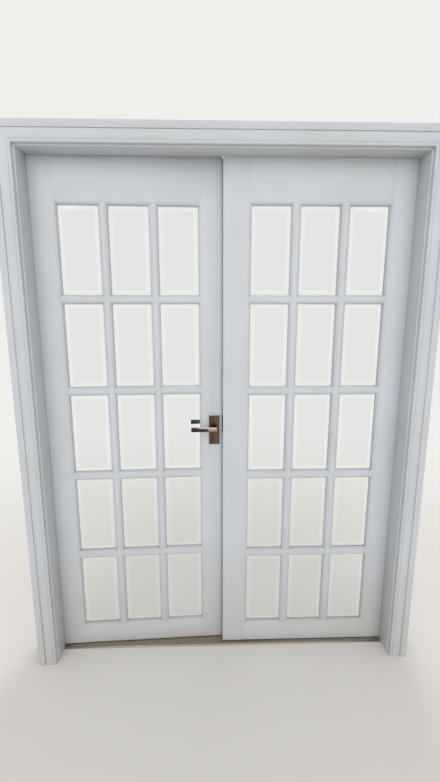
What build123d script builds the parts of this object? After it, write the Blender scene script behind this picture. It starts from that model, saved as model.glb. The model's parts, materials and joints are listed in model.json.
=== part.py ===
import math
import os

from build123d import *

# A pair of glazed internal doors in their own lining. Millimetres, +Z up.
# The origin is on the floor, midway between the jambs, under the front faces of the closed leaves.
# -Y is the room side that the photograph shows, and both leaves swing away from it, towards +Y.

# Leaves
leaf_width = 711
leaf_height = 1981
leaf_thickness = 35
hinge_stile_width = 100
meeting_stile_width = 104
top_rail_height = 169
bottom_rail_height = 90
bar_width = 35
columns = 3
rows = 5
joint_allowance = 10  # how far timbers and cutters run past a joint before it is cut
rest_opening = 2.6  # degrees that the left leaf stands ajar

# Moulding stuck on the front edge of every member that holds glass
moulding_width = 10
moulding_quirk = 1.5
moulding_fillet = 1.5
moulding_depth = 10

# Glass and its rear beads
glass_thickness = 6
glass_edge_thickness = 3
glass_bevel_width = 24
glass_cover = 7
glass_seat_depth = 16.5
glass_clearance = 1
bead_setback = 2
bead_chamfer = 5
bead_joint_gap = 0.2

# Meeting edges: the right leaf has a front lip, the left leaf a rear tongue
meeting_rebate = 16
lip_thickness = 17
rebate_clearance = 1

# Gaps around the leaves
hinge_gap = 2
meeting_gap = 5
head_gap = 3
floor_gap = 8
stop_clearance = 1

# Lining
lining_thickness = 32
reveal_depth = 88
stop_width = 13
fixing_hole_radius = 2.75
fixing_hole_setback = 16
outer_fixing_inset = 120
inner_fixing_inset = 620

# Architraves
architrave_width = 70
architrave_thickness = 18
front_margin = 6
rear_margin = 8
architrave_bead_width = 10
architrave_bead_rise = 3
architrave_groove_width = 2
architrave_groove_depth = 2.5
architrave_band_width = 25
architrave_field_thickness = 14
architrave_edge_radius = 4

# Threshold bar
threshold_height = 5
threshold_front = 22
threshold_back = 40
threshold_slope_width = 6
threshold_edge_height = 1.2
threshold_end_gap = 0.5
threshold_hole_radius = 2.5
threshold_holes = 4
threshold_hole_inset = 107.5
threshold_hole_setback = 8

# Butt hinges
hinge_height = 100
hinge_plate_width = 30
hinge_plate_thickness = 2.5
hinge_knuckles = 5
hinge_knuckle_radius = 5.5
hinge_knuckle_gap = 0.4
hinge_pin_radius = 2.5
hinge_pin_clearance = 0.05
hinge_pin_head_height = 2
hinge_pin_head_radius = 4.5
hinge_pin_setback = 6
top_hinge_inset = 150
bottom_hinge_inset = 225
hinge_screw_spacing = 35
hinge_screw_edge = 8
hinge_screw_stagger = 11

# Screws
screw_head_radius = 4
screw_shank_radius = 2
screw_length = 22
screw_tip_length = 4
screw_clearance = 0.1

# Lever handles on short backplates
spindle_height = 976
spindle_backset = 47
backplate_width = 42
backplate_height = 118
backplate_thickness = 8
backplate_edge_radius = 3
spindle_below_plate_top = 46
backplate_screw_inset = 11
backplate_screw_length = 30
sleeve_radius = 3
sleeve_length = 30
sleeve_head_depth = 4
sleeve_thread_clearance = 0.05
lever_length = 93
lever_radius = 9
lever_projection = 52
lever_neck_radius = 8
lever_neck_clearance = 0.05
lever_neck_gap = 0.5
lever_end_radius = 1
spindle_size = 8
spindle_clearance = 0.1
spindle_depth_in_lever = 28
spindle_bore_radius = 9

# Mortice latch
latch_case_length = 68
latch_case_thickness = 12
latch_case_height = 68
latch_case_below_spindle = 27
latch_mortice_clearance = 0.5
forend_thickness = 2
forend_front_setback = 3
forend_rear_setback = 2
follower_radius = 9
follower_clearance = 0.1
bolt_above_spindle = 22
bolt_height = 14
bolt_thickness = 9
bolt_projection = 11
bolt_tail_length = 39
bolt_nose = 1
bolt_clearance = 0.3

# Strike plate
strike_thickness = 2
strike_width = 16
strike_clearance = 1.5
strike_pocket_depth = 15

# Flush bolts in the right leaf
flush_plate_length = 180
flush_plate_thickness = 2.5
flush_plate_width = 15
flush_plate_inset = 20
flush_rod_radius = 4
flush_rod_clearance = 0.2
flush_rod_setback = 12
flush_rod_end_gap = 0.5
flush_rod_length = 130
flush_top_travel = 14
flush_bottom_travel = 7
flush_knob_height = 20
flush_knob_width = 7.5
flush_slot_clearance = 0.5
flush_pocket_width = 11
flush_knob_recess = 1
keep_length = 40
keep_width = 16
keep_thickness = 2
keep_clearance = 0.6
keep_socket_depth = 14

os.makedirs("parts", exist_ok=True)

# Places that follow from the sizes
doorway_half = leaf_width - (meeting_rebate - meeting_gap) / 2 + hinge_gap
stop_face = doorway_half - stop_width
lining_outside = stop_face + lining_thickness
lining_front = -(stop_clearance + reveal_depth)
leaf_top = floor_gap + leaf_height
head_rebate_face = leaf_top + head_gap
head_stop_face = head_rebate_face - stop_width
lining_top = head_stop_face + lining_thickness
shoulder = leaf_width - meeting_rebate
tongue_front = lip_thickness + rebate_clearance
tongue_middle = (lip_thickness + leaf_thickness) / 2
threshold_hole_spacing = 2 * (doorway_half - threshold_hole_inset) / (threshold_holes - 1)
rebate_wall = moulding_width - glass_cover - glass_clearance
pane_width = (leaf_width - hinge_stile_width - meeting_stile_width - (columns - 1) * bar_width) / columns
pane_height = (leaf_height - top_rail_height - bottom_rail_height - (rows - 1) * bar_width) / rows
column_pitch = pane_width + bar_width
row_pitch = pane_height + bar_width
glazed_centre = (
    (hinge_stile_width + leaf_width - meeting_stile_width) / 2,
    (bottom_rail_height + leaf_height - top_rail_height) / 2,
)
bevel_slope = (glass_thickness - glass_edge_thickness) / glass_bevel_width
glass_front = glass_seat_depth - (glass_bevel_width - glass_cover) * bevel_slope
glass_back = glass_front + glass_thickness
top_hinge_bottom = leaf_height - top_hinge_inset - hinge_height
hinge_bottoms = [bottom_hinge_inset, (bottom_hinge_inset + top_hinge_bottom) / 2, top_hinge_bottom]
knuckle_height = (hinge_height - (hinge_knuckles - 1) * hinge_knuckle_gap) / hinge_knuckles
pin_across = -hinge_gap / 2
pin_through = leaf_thickness + hinge_pin_setback

# Lines where a timber's core ends and its moulding begins. Each timber is given by its low and high line,
# and whether a moulding grows out of them.
stile_line = hinge_stile_width - moulding_width
meeting_line = leaf_width - meeting_stile_width + moulding_width
head_line = leaf_height - top_rail_height + moulding_width
foot_line = bottom_rail_height - moulding_width
joint_reach = moulding_width + joint_allowance
rail_lines = {
    "top": (head_line, leaf_height, True, False),
    "bottom": (0, foot_line, False, True),
}
bar_core = bar_width - 2 * moulding_width
first_upright = hinge_stile_width + pane_width + moulding_width
first_cross = bottom_rail_height + pane_height + moulding_width
upright_lines = [
    (first_upright + i * column_pitch, first_upright + i * column_pitch + bar_core, True, True)
    for i in range(columns - 1)
]
cross_lines = [
    (first_cross + i * row_pitch, first_cross + i * row_pitch + bar_core, True, True)
    for i in range(rows - 1)
]

# Leaf frames: across = from the hinge edge to the meeting edge, through = from the front face to the back,
# up = from the bottom edge. The right leaf's planes look down, so that both leaves read the same sketches:
# plan sketches hold (across, through), end sketches (up, through) and front sketches (across, up).
turns = {"left": 1, "right": -1}
openings = {"left": rest_opening, "right": 0}


def leaf_planes(side, opening):
    """Plan, end and front planes of a leaf opened by so many degrees, from its front hinge corner."""
    turn = turns[side]
    angle = math.radians(opening)
    across = Vector(turn * math.cos(angle), math.sin(angle), 0)
    through = Vector(-turn * math.sin(angle), math.cos(angle), 0)
    pin = Vector(-turn * (doorway_half + pin_across), pin_through, floor_gap)
    corner = pin - across * pin_across - through * pin_through
    plan = Plane(origin=corner, x_dir=across, z_dir=(0, 0, turn))
    end = Plane(origin=corner, x_dir=(0, 0, 1), z_dir=across * -turn)
    front = Plane(origin=corner, x_dir=across, z_dir=through * -turn)
    return plan, end, front


def member_section(low, high, low_moulded, high_moulded, front_end=None, rear_end=None):
    """Outline of a timber between two lines, with the moulding and glass rebate on its moulded edges."""
    arc_width = moulding_width - moulding_fillet
    arc_depth = moulding_depth - moulding_quirk
    front_at, rear_at = [], []
    for at, way, moulded in ((low, -1, low_moulded), (high, 1, high_moulded)):
        if moulded:
            Line((at, 0), (at, moulding_quirk))
            ThreePointArc(
                (at, moulding_quirk),
                (
                    at + way * arc_width * math.sin(math.pi / 4),
                    moulding_depth - arc_depth * math.cos(math.pi / 4),
                ),
                (at + way * arc_width, moulding_depth),
            )
            Polyline(
                (at + way * arc_width, moulding_depth),
                (at + way * moulding_width, moulding_depth),
                (at + way * moulding_width, glass_seat_depth),
                (at + way * rebate_wall, glass_seat_depth),
                (at + way * rebate_wall, leaf_thickness),
            )
            front_at.append(at)
            rear_at.append(at + way * rebate_wall)
        elif way == 1 and front_end is not None:
            step = lip_thickness if front_end > rear_end else tongue_front
            Polyline((front_end, 0), (front_end, step), (rear_end, step), (rear_end, leaf_thickness))
            front_at.append(front_end)
            rear_at.append(rear_end)
        else:
            Line((at, 0), (at, leaf_thickness))
            front_at.append(at)
            rear_at.append(at)
    Line((front_at[0], 0), (front_at[1], 0))
    Line((rear_at[0], leaf_thickness), (rear_at[1], leaf_thickness))


def mitre_corners(line, way, low, high, low_moulded, high_moulded):
    """Corners of a timber's mitred end, which meets a line and goes on by way, as (along, beside) pairs."""
    return [
        (line, low if low_moulded else low - joint_reach),
        (line + way * joint_reach, low - joint_reach),
        (line + way * joint_reach, high + joint_reach),
        (line, high if high_moulded else high + joint_reach),
    ]


def timber_room(plane, depth, start, stop, lines):
    """The room of a timber from line to line: mitred as far back as the glass seat, square behind it."""
    starts = mitre_corners(start, 1, *lines)
    stops = mitre_corners(stop, -1, *lines)
    with BuildPart() as room:
        with BuildSketch(plane.offset(-depth * joint_allowance)):
            Polygon(*starts[:2], *stops[1::-1], *stops[:1:-1], *starts[2:], align=None)
        extrude(amount=depth * (glass_seat_depth + joint_allowance))
        with BuildSketch(plane.offset(depth * glass_seat_depth)):
            with Locations(((start + stop) / 2, (lines[0] + lines[1]) / 2)):
                Rectangle(stop - start - 2 * rebate_wall, lines[1] - lines[0] + 2 * joint_reach)
        extrude(amount=depth * (leaf_thickness - glass_seat_depth + joint_allowance))
    return room.part


def joint_sockets(plane, depth, lines, crossing):
    """What a timber's moulded edges lose, in front of the glass seat, where crossing timbers meet them."""
    low, high, low_moulded, high_moulded = lines
    edges = [edge for edge in ((low, -1, low_moulded), (high, 1, high_moulded)) if edge[2]]
    with BuildPart() as sockets:
        with BuildSketch(plane.offset(-depth * joint_allowance)):
            for line, way, _ in edges:
                for crossing_lines in crossing:
                    Polygon(*mitre_corners(line, way, *crossing_lines), align=None)
        extrude(amount=depth * (glass_seat_depth + joint_allowance))
    return sockets.part


def fastener_profile(head_radius, shank_radius, length, tip_length=0.0):
    """Half section of a countersunk fastener that points down from its head, on the XZ plane."""
    Polyline(
        (0, 0),
        (head_radius, 0),
        (shank_radius, shank_radius - head_radius),
        (shank_radius, tip_length - length),
        (0, -length),
        close=True,
    )


# Countersunk wood screw, and the hole that it leaves
with BuildPart() as wood_screw:
    with BuildSketch(Plane.XZ):
        with BuildLine():
            fastener_profile(screw_head_radius, screw_shank_radius, screw_length, screw_tip_length)
        make_face()
    revolve(axis=Axis.Z)

with BuildPart() as screw_hole:
    with BuildSketch(Plane.XZ):
        with BuildLine():
            fastener_profile(
                screw_head_radius + screw_clearance,
                screw_shank_radius + screw_clearance,
                screw_length + screw_clearance,
            )
        make_face()
    revolve(axis=Axis.Z)


def hinge_screw_seats(side, opening, plate_face, way):
    """Planes on the screw heads of a leaf's hinges, facing out of a plate whose metal lies towards way."""
    plan = leaf_planes(side, opening)[0]
    seats = []
    for bottom in hinge_bottoms:
        for step in (-1, 0, 1):
            inset = hinge_screw_edge + (hinge_screw_stagger if step == 0 else 0)
            point = plan.from_local_coords(
                (
                    plate_face,
                    leaf_thickness - hinge_plate_width + inset,
                    turns[side] * (bottom + hinge_height / 2 + step * hinge_screw_spacing),
                )
            )
            seats.append(Plane(origin=point, x_dir=(0, 0, 1), z_dir=plan.x_dir * -way))
    return seats


def hinge_flaps(side, opening, plate_face, way):
    """The flat parts of a leaf's three hinge plates, whose metal lies towards way from their face."""
    plan, up = leaf_planes(side, opening)[0], turns[side]
    with BuildPart() as flaps:
        for bottom in hinge_bottoms:
            with BuildSketch(plan.offset(up * bottom)):
                with Locations((plate_face + way * hinge_plate_thickness / 2, leaf_thickness)):
                    Rectangle(hinge_plate_thickness, hinge_plate_width, align=(Align.CENTER, Align.MAX))
            extrude(amount=up * hinge_height)
    return flaps.part


# The right leaf's flush bolts: height of the leaf's end, the way from there into the leaf, the rod's travel
flush_bolts = {
    "top": (leaf_height, -1, flush_top_travel),
    "bottom": (0, 1, flush_bottom_travel),
}
flush_rod_across = shoulder - flush_rod_setback
flush_knob_place = flush_plate_inset + flush_plate_length / 2


def slot_span(edge, way, travel, slack):
    """Middle and length of the stretch that a flush bolt's knob sweeps, with so much slack at each end."""
    middle = edge + way * (flush_knob_place - travel / 2)
    return middle, flush_knob_height + travel + 2 * slack


# Lining: each jamb is one timber, with the stop left standing along its front part
for side in ("left", "right"):
    plan, end = leaf_planes(side, 0)[:2]
    up, inward = turns[side], -turns[side]
    recesses = hinge_flaps(side, 0, -hinge_gap, -1)
    with BuildPart() as jamb:
        with BuildSketch(plan.offset(-up * floor_gap)):
            with BuildLine():
                Polyline(
                    (-hinge_gap + stop_width - lining_thickness, lining_front),
                    (-hinge_gap + stop_width, lining_front),
                    (-hinge_gap + stop_width, -stop_clearance),
                    (-hinge_gap, -stop_clearance),
                    (-hinge_gap, leaf_thickness),
                    (-hinge_gap + stop_width - lining_thickness, leaf_thickness),
                    close=True,
                )
            make_face()
        extrude(amount=up * head_rebate_face)
        with BuildSketch(plan.offset(up * (head_stop_face - floor_gap))):
            with Locations((-hinge_gap + stop_width - lining_thickness, lining_front)):
                Rectangle(lining_thickness, reveal_depth, align=Align.MIN)
        extrude(amount=up * stop_width, mode=Mode.SUBTRACT)
        add(recesses, mode=Mode.SUBTRACT)
        with BuildSketch(end.offset(inward * -hinge_gap)):
            with Locations(
                *[
                    (height, fixing_hole_setback)
                    for inset in (outer_fixing_inset, inner_fixing_inset)
                    for height in (inset - floor_gap, leaf_height - inset)
                ]
            ):
                Circle(fixing_hole_radius)
        extrude(amount=-inward * lining_thickness, mode=Mode.SUBTRACT)
        with Locations(*hinge_screw_seats(side, 0, -hinge_gap, -1)):
            add(screw_hole.part, mode=Mode.SUBTRACT)
    jamb.part.label = f"{side}_jamb"
    export_step(jamb.part, f"parts/{side}_jamb.step")

flush_bolt_x = doorway_half - hinge_gap - flush_rod_across

with BuildPart() as head_jamb:
    with BuildSketch(Plane.YZ):
        with BuildLine():
            Polyline(
                (lining_front, head_stop_face),
                (-stop_clearance, head_stop_face),
                (-stop_clearance, head_rebate_face),
                (leaf_thickness, head_rebate_face),
                (leaf_thickness, lining_top),
                (lining_front, lining_top),
                close=True,
            )
        make_face()
    extrude(amount=lining_outside, both=True)
    with BuildSketch(Plane.XY.offset(head_rebate_face)):
        with Locations((flush_bolt_x, tongue_middle)):
            Rectangle(keep_length, keep_width)
    extrude(amount=keep_thickness, mode=Mode.SUBTRACT)
    with BuildSketch(Plane.XY.offset(head_rebate_face)):
        with Locations((flush_bolt_x, tongue_middle)):
            Circle(flush_rod_radius + keep_clearance)
    extrude(amount=keep_socket_depth, mode=Mode.SUBTRACT)
head_jamb.part.label = "head_jamb"
export_step(head_jamb.part, "parts/head_jamb.step")

with BuildPart() as head_keep:
    with BuildSketch(Plane.XY.offset(head_rebate_face)):
        with Locations((flush_bolt_x, tongue_middle)):
            Rectangle(keep_length, keep_width)
            Circle(flush_rod_radius + keep_clearance, mode=Mode.SUBTRACT)
    extrude(amount=keep_thickness)
head_keep.part.label = "head_keep"
export_step(head_keep.part, "parts/head_keep.step")

with BuildPart() as threshold_bar:
    with BuildSketch(Plane.YZ):
        with BuildLine():
            Polyline(
                (-threshold_front, 0),
                (-threshold_front, threshold_edge_height),
                (-threshold_front + threshold_slope_width, threshold_height),
                (threshold_back - threshold_slope_width, threshold_height),
                (threshold_back, threshold_edge_height),
                (threshold_back, 0),
                close=True,
            )
        make_face()
    extrude(amount=doorway_half - threshold_end_gap, both=True)
    with BuildSketch(Plane.XY):
        for way, align in ((-1, Align.MAX), (1, Align.MIN)):
            with Locations((way * (stop_face - threshold_end_gap), -stop_clearance + threshold_end_gap)):
                Rectangle(lining_thickness, threshold_front, align=(align, Align.MAX))
        with Locations((0, -threshold_hole_setback)):
            with GridLocations(threshold_hole_spacing, threshold_hole_spacing, threshold_holes, 1):
                Circle(threshold_hole_radius)
        with Locations((flush_bolt_x, tongue_middle)):
            Circle(flush_rod_radius + keep_clearance)
    extrude(amount=threshold_height, mode=Mode.SUBTRACT)
threshold_bar.part.label = "threshold_bar"
export_step(threshold_bar.part, "parts/threshold_bar.step")


# Architraves: one moulded section on each side of the opening, mitred at the corners
def architrave_section(inner, way, seat, out):
    """Outline of the moulding, growing by way from its inner edge and by out from the wall side."""
    thin = seat + out * architrave_field_thickness
    thick = seat + out * architrave_thickness
    floor = thin - out * architrave_groove_depth
    bead_end = inner + way * architrave_bead_width
    groove_end = bead_end + way * architrave_groove_width
    outer = inner + way * architrave_width
    band_start = outer - way * architrave_band_width
    band_round = outer - way * architrave_edge_radius
    round_end = thick - out * architrave_edge_radius
    Line((inner, seat), (inner, thin))
    bead_crown = ((inner + bead_end) / 2, thin + out * architrave_bead_rise)
    ThreePointArc((inner, thin), bead_crown, (bead_end, thin))
    Polyline(
        (bead_end, thin),
        (bead_end, floor),
        (groove_end, floor),
        (groove_end, thin),
        (band_start - way * architrave_groove_width, thin),
        (band_start - way * architrave_groove_width, floor),
        (band_start, floor),
        (band_start, thick),
        (band_round, thick),
    )
    RadiusArc((band_round, thick), (outer, round_end), way * out * architrave_edge_radius)
    Polyline((outer, round_end), (outer, seat), (inner, seat))


# Wall side plane, way out from it, and the inner edges beside and above the opening
architrave_places = {
    "front": (lining_front, -1, stop_face + front_margin, head_stop_face + front_margin),
    "rear": (leaf_thickness, 1, doorway_half + rear_margin, head_rebate_face + rear_margin),
}

for face, (seat, out, inner_across, inner_up) in architrave_places.items():
    outer_across = inner_across + architrave_width
    outer_up = inner_up + architrave_width
    for side in ("left", "right"):
        hand = -turns[side]
        with BuildPart() as leg:
            with BuildSketch(Plane.XY):
                with BuildLine():
                    architrave_section(hand * inner_across, hand, seat, out)
                make_face()
            extrude(amount=outer_up)
            with BuildSketch(Plane.XZ.offset(-seat)):
                with BuildLine():
                    Polyline(
                        (hand * inner_across, inner_up),
                        (hand * outer_across, outer_up),
                        (hand * inner_across, outer_up),
                        close=True,
                    )
                make_face()
            extrude(amount=-out * 2 * architrave_thickness, mode=Mode.SUBTRACT)
        leg.part.label = f"{face}_architrave_{side}"
        export_step(leg.part, f"parts/{face}_architrave_{side}.step")
    with BuildPart() as lintel:
        with BuildSketch(Plane.ZY):
            with BuildLine():
                architrave_section(inner_up, 1, seat, out)
            make_face()
        extrude(amount=outer_across, both=True)
        with BuildSketch(Plane.XZ.offset(-seat)):
            for hand in (-1, 1):
                with BuildLine():
                    Polyline(
                        (hand * inner_across, inner_up),
                        (hand * outer_across, outer_up),
                        (hand * outer_across, inner_up),
                        close=True,
                    )
                make_face()
        extrude(amount=-out * 2 * architrave_thickness, mode=Mode.SUBTRACT)
    lintel.part.label = f"{face}_architrave_head"
    export_step(lintel.part, f"parts/{face}_architrave_head.step")

# Lock: its places in the left leaf's frame
spindle_across = leaf_width - spindle_backset
backplate_middle = spindle_height + spindle_below_plate_top - backplate_height / 2
backplate_screw_heights = [
    backplate_middle + way * (backplate_height / 2 - backplate_screw_inset) for way in (-1, 1)
]
case_end = leaf_width - forend_thickness
case_bottom = spindle_height - latch_case_below_spindle
case_middle = (tongue_front + leaf_thickness) / 2
case_front = case_middle - latch_case_thickness / 2
spindle_hole = spindle_size + 2 * spindle_clearance
bolt_tail = leaf_width - bolt_tail_length
bolt_middle = spindle_height + bolt_above_spindle


def forend_outline():
    """Plan outline of the cranked plate that follows the left leaf's rebated edge."""
    rear = leaf_thickness - forend_rear_setback
    Polyline(
        (shoulder - forend_thickness, forend_front_setback),
        (shoulder, forend_front_setback),
        (shoulder, tongue_front),
        (leaf_width, tongue_front),
        (leaf_width, rear),
        (case_end, rear),
        (case_end, tongue_front + forend_thickness),
        (shoulder - forend_thickness, tongue_front + forend_thickness),
        close=True,
    )


def latch_mortice(side):
    """What the latch takes out of a meeting stile: mortice, forend rebate, spindle bore, fixing holes."""
    plan, _, front = leaf_planes(side, openings[side])
    up, inward = turns[side], -turns[side]
    with BuildPart() as mortice:
        with BuildSketch(plan.offset(up * case_bottom)):
            with BuildLine():
                forend_outline()
            make_face()
        extrude(amount=up * latch_case_height)
        with BuildSketch(plan.offset(up * (case_bottom - latch_mortice_clearance))):
            with Locations((case_end, case_middle)):
                Rectangle(
                    latch_case_length + latch_mortice_clearance,
                    latch_case_thickness + 2 * latch_mortice_clearance,
                    align=(Align.MAX, Align.CENTER),
                )
        extrude(amount=up * (latch_case_height + 2 * latch_mortice_clearance))
        with BuildSketch(front):
            with Locations((spindle_across, spindle_height)):
                Circle(spindle_bore_radius)
            with Locations(*[(spindle_across, height) for height in backplate_screw_heights]):
                Circle(sleeve_radius + screw_clearance)
        extrude(amount=inward * leaf_thickness)
    return mortice.part


def bolt_recesses(side):
    """What the strike plate and the two flush bolts take out of a meeting stile."""
    plan, end = leaf_planes(side, openings[side])[:2]
    up, inward = turns[side], -turns[side]
    with BuildPart() as recesses:
        with BuildSketch(end.offset(inward * (shoulder - strike_thickness))):
            with Locations((case_bottom + latch_case_height / 2, tongue_middle)):
                Rectangle(latch_case_height, strike_width)
        extrude(amount=inward * strike_thickness)
        with BuildSketch(end.offset(inward * (shoulder - strike_pocket_depth))):
            with Locations((bolt_middle, case_middle)):
                Rectangle(bolt_height + 2 * strike_clearance, bolt_thickness + 2 * strike_clearance)
        extrude(amount=inward * strike_pocket_depth)
        for edge, way, travel in flush_bolts.values():
            with BuildSketch(plan.offset(up * edge)):
                with Locations((flush_rod_across, tongue_middle)):
                    Circle(flush_rod_radius + flush_rod_clearance)
            extrude(amount=up * way * (flush_rod_length + 2 * flush_rod_end_gap))
            middle, length = slot_span(edge, way, travel, flush_slot_clearance)
            with BuildSketch(end.offset(inward * flush_rod_across)):
                with Locations((middle, tongue_middle)):
                    Rectangle(length, flush_pocket_width)
            extrude(amount=inward * flush_rod_setback)
            with BuildSketch(end.offset(inward * (shoulder - flush_plate_thickness))):
                with Locations((edge + way * flush_knob_place, tongue_middle)):
                    Rectangle(flush_plate_length, flush_plate_width)
            extrude(amount=inward * flush_plate_thickness)
    return recesses.part


# Leaves: stiles run through, rails meet them, upright bars meet the rails, cross bars fill between uprights
for side in ("left", "right"):
    plan, end, front = leaf_planes(side, openings[side])
    up, inward = turns[side], -turns[side]
    standing = Plane(origin=front.origin, x_dir=(0, 0, 1), z_dir=-front.z_dir)
    stiles_meet = [*rail_lines.values(), *cross_lines]

    hinge_stile_lines = (0, stile_line, False, True)
    hinge_cuts = [
        joint_sockets(front, inward, hinge_stile_lines, stiles_meet),
        hinge_flaps(side, openings[side], 0, 1),
    ]
    with BuildPart() as hinge_stile:
        with BuildSketch(plan):
            with BuildLine():
                member_section(*hinge_stile_lines)
            make_face()
        extrude(amount=up * leaf_height)
        add(hinge_cuts, mode=Mode.SUBTRACT)
        with Locations(*hinge_screw_seats(side, openings[side], 0, 1)):
            add(screw_hole.part, mode=Mode.SUBTRACT)
    hinge_stile.part.label = f"{side}_hinge_stile"
    export_step(hinge_stile.part, f"parts/{side}_hinge_stile.step")

    meeting_stile_lines = (meeting_line, leaf_width, True, False)
    meeting_ends = (shoulder, leaf_width) if side == "left" else (leaf_width, shoulder)
    meeting_cuts = [
        joint_sockets(front, inward, meeting_stile_lines, stiles_meet),
        latch_mortice(side) if side == "left" else bolt_recesses(side),
    ]
    with BuildPart() as meeting_stile:
        with BuildSketch(plan):
            with BuildLine():
                member_section(*meeting_stile_lines, *meeting_ends)
            make_face()
        extrude(amount=up * leaf_height)
        add(meeting_cuts, mode=Mode.SUBTRACT)
    meeting_stile.part.label = f"{side}_meeting_stile"
    export_step(meeting_stile.part, f"parts/{side}_meeting_stile.step")

    for name, lines in rail_lines.items():
        room = timber_room(front, inward, stile_line, meeting_line, lines)
        sockets = joint_sockets(standing, up, lines, upright_lines)
        with BuildPart() as rail:
            with BuildSketch(end.offset(inward * (stile_line - joint_allowance))):
                with BuildLine():
                    member_section(*lines)
                make_face()
            extrude(amount=inward * (meeting_line - stile_line + 2 * joint_allowance))
            add(room, mode=Mode.INTERSECT)
            add(sockets, mode=Mode.SUBTRACT)
        rail.part.label = f"{side}_{name}_rail"
        export_step(rail.part, f"parts/{side}_{name}_rail.step")

    # One bar of each kind, repeated at the pitch of the panes
    room = timber_room(standing, up, foot_line, head_line, upright_lines[0])
    sockets = joint_sockets(front, inward, upright_lines[0], cross_lines)
    with BuildPart() as upright_bar:
        with BuildSketch(plan.offset(up * (foot_line - joint_allowance))):
            with BuildLine():
                member_section(*upright_lines[0])
            make_face()
        extrude(amount=up * (head_line - foot_line + 2 * joint_allowance))
        add(room, mode=Mode.INTERSECT)
        add(sockets, mode=Mode.SUBTRACT)
    with BuildPart() as upright_bars:
        with Locations(*[plan.x_dir * column * column_pitch for column in range(columns - 1)]):
            add(upright_bar.part)
    upright_bars.part.label = f"{side}_upright_bars"
    export_step(upright_bars.part, f"parts/{side}_upright_bars.step")

    room = timber_room(front, inward, stile_line, upright_lines[0][0], cross_lines[0])
    with BuildPart() as cross_bar:
        with BuildSketch(end.offset(inward * (stile_line - joint_allowance))):
            with BuildLine():
                member_section(*cross_lines[0])
            make_face()
        extrude(amount=inward * (pane_width + 2 * joint_reach))
        add(room, mode=Mode.INTERSECT)
    with BuildPart() as cross_bars:
        with Locations(
            *[
                plan.x_dir * column * column_pitch + Vector(0, 0, row * row_pitch)
                for column in range(columns)
                for row in range(rows - 1)
            ]
        ):
            add(cross_bar.part)
    cross_bars.part.label = f"{side}_cross_bars"
    export_step(cross_bars.part, f"parts/{side}_cross_bars.step")

    # One pane with its bevelled front, lying on the plane of its back, and one pane's four rear beads
    with BuildPart() as pane:
        with BuildSketch():
            Rectangle(pane_width + 2 * glass_cover, pane_height + 2 * glass_cover)
        extrude(amount=up * glass_edge_thickness)
        with BuildSketch(Plane.XY.offset(up * glass_edge_thickness)):
            Rectangle(pane_width + 2 * glass_cover, pane_height + 2 * glass_cover)
        with BuildSketch(Plane.XY.offset(up * glass_thickness)):
            flat_margin = glass_cover - glass_bevel_width
            Rectangle(pane_width + 2 * flat_margin, pane_height + 2 * flat_margin)
        loft()

    bead_cover = moulding_width - rebate_wall
    bead_depth = leaf_thickness - bead_setback - glass_back
    with BuildPart() as beads:
        with BuildSketch():
            Rectangle(pane_width + 2 * bead_cover, pane_height + 2 * bead_cover)
            Rectangle(pane_width, pane_height, mode=Mode.SUBTRACT)
        extrude(amount=inward * bead_depth)
        with BuildSketch(Plane.XY.offset(inward * (bead_depth - bead_chamfer))):
            Rectangle(pane_width, pane_height)
        with BuildSketch(Plane.XY.offset(inward * bead_depth)):
            Rectangle(pane_width + 2 * bead_chamfer, pane_height + 2 * bead_chamfer)
        loft(mode=Mode.SUBTRACT)
        with BuildSketch():
            for x_way, y_way in ((-1, -1), (-1, 1), (1, -1), (1, 1)):
                corner = (x_way * (pane_width + bead_cover) / 2, y_way * (pane_height + bead_cover) / 2)
                with Locations(corner):
                    Rectangle(2 * moulding_width, bead_joint_gap, rotation=45 * x_way * y_way)
        extrude(amount=inward * bead_depth, mode=Mode.SUBTRACT)

    glass_plane = front.offset(inward * glass_back)
    grid = (column_pitch, row_pitch, columns, rows)
    with BuildPart(glass_plane) as panes:
        with Locations(glazed_centre):
            with GridLocations(*grid):
                add(pane.part)
    panes.part.label = f"{side}_panes"
    export_step(panes.part, f"parts/{side}_panes.step")

    with BuildPart(glass_plane) as glazing_beads:
        with Locations(glazed_centre):
            with GridLocations(*grid):
                add(beads.part)
    glazing_beads.part.label = f"{side}_glazing_beads"
    export_step(glazing_beads.part, f"parts/{side}_glazing_beads.step")

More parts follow.
